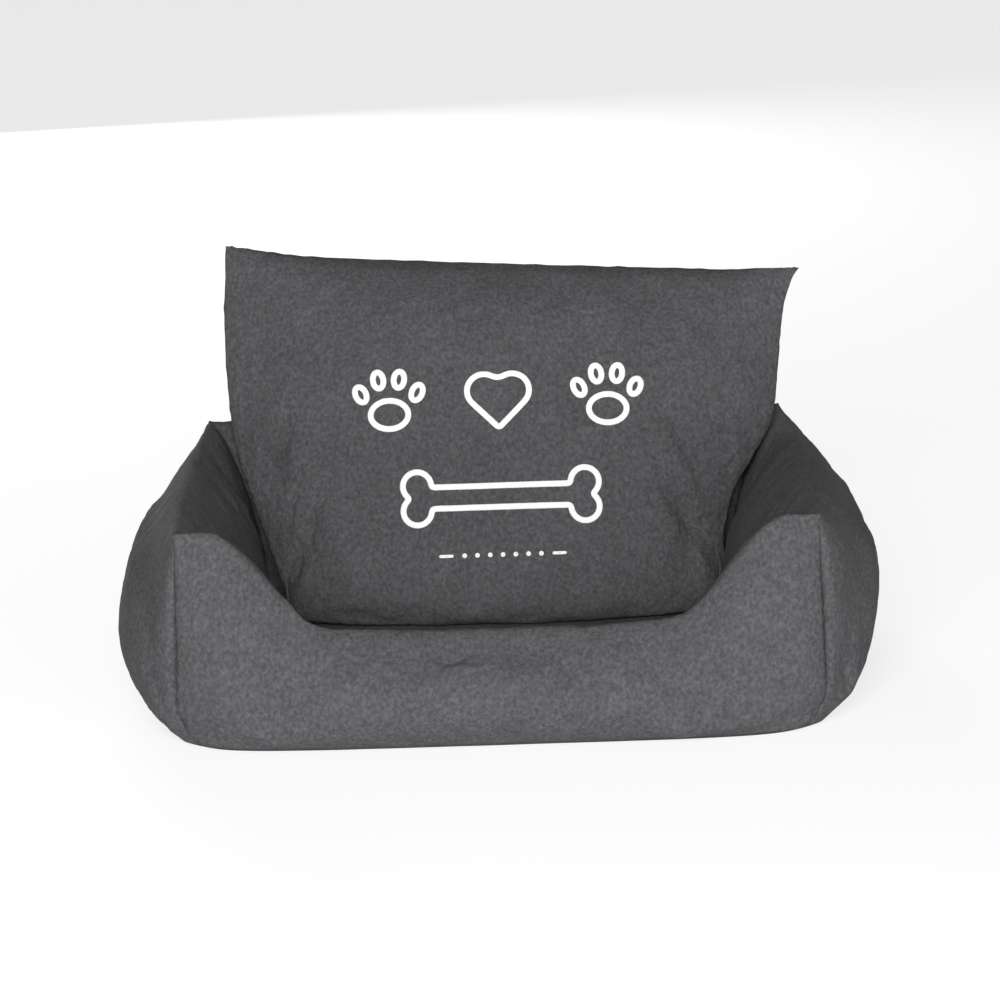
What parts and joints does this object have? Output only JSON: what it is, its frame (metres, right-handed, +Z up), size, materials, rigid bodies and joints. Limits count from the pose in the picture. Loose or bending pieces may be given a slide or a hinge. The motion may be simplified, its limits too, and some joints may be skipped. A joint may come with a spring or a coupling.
{
  "type": "padded dog bed",
  "caption": "Rectangular dog bed: four stuffed fabric walls, the front one dipped low in the middle, round a padded floor, with a loose stuffed cushion standing against the back wall.",
  "frame": {"origin": "centre of the footprint, on the floor, so the bed's outline is centred on it", "axes": "+Z up, +Y towards the back wall, +X to the right of someone who faces the low front wall"},
  "size_m": [0.8002, 0.6645, 0.4324],
  "materials": {
    "grey_felt": "felted melange cloth, dark grey, dull",
    "black_nylon": "tight nylon weave with small raised anti-slip dots",
    "white_fibre": "loose polyester fibre",
    "white_ticking": "thin non-woven lining",
    "white_print": "flexible transfer print, matt",
    "zip_tape": "woven polyester tape",
    "zip_coil": "nylon coil",
    "zip_metal": "dark nickel plate"
  },
  "bodies": {
    "bed": {"base_bottom_panel": "black_nylon", "base_pad": "white_fibre", "base_top_panel": "grey_felt", "front_wall_cover": "grey_felt", "front_wall_filling": "white_fibre", "back_wall_cover": "grey_felt", "back_wall_filling": "white_fibre", "left_wall_cover": "grey_felt", "left_wall_filling": "white_fibre", "right_wall_cover": "grey_felt", "right_wall_filling": "white_fibre", "bed_zip_tapes": "zip_tape", "bed_zip_coils": "zip_coil", "bed_zip_stops": "zip_metal"},
    "cushion": {"cushion_front_panel": "grey_felt", "cushion_back_panel": "grey_felt", "inner_pillow_ticking": "white_ticking", "inner_pillow_fibre": "white_fibre", "cushion_print": "white_print", "cushion_zip_tapes": "zip_tape", "cushion_zip_coils": "zip_coil", "cushion_zip_stops": "zip_metal"},
    "bed_zip_slider": {"bed_zip_slider": "zip_metal"},
    "bed_zip_pull": {"bed_zip_pull": "zip_metal"},
    "cushion_zip_slider": {"cushion_zip_slider": "zip_metal"},
    "cushion_zip_pull": {"cushion_zip_pull": "zip_metal"}
  },
  "joints": [
    {"name": "cushion_lift", "type": "slide", "parent": "bed", "child": "cushion", "axis": [0, 0.342, 0.9397], "range_m": [0, 0.26]},
    {"name": "bed_zip_travel", "type": "slide", "parent": "bed", "child": "bed_zip_slider", "axis": [1, 0, 0], "range_m": [0, 0.356]},
    {"name": "bed_zip_pull_hinge", "type": "hinge", "parent": "bed_zip_slider", "child": "bed_zip_pull", "pos_m": [-0.178, 0.32226, 0.03845], "axis": [0, 0.309, 0.9511], "range_deg": [0, 180]},
    {"name": "cushion_zip_travel", "type": "slide", "parent": "cushion", "child": "cushion_zip_slider", "axis": [1, 0, 0], "range_m": [0, 0.236]},
    {"name": "cushion_zip_pull_hinge", "type": "hinge", "parent": "cushion_zip_slider", "child": "cushion_zip_pull", "pos_m": [-0.108, 0.1789, 0.05661], "axis": [0, 0.6157, 0.788], "range_deg": [0, 180]}
  ]
}
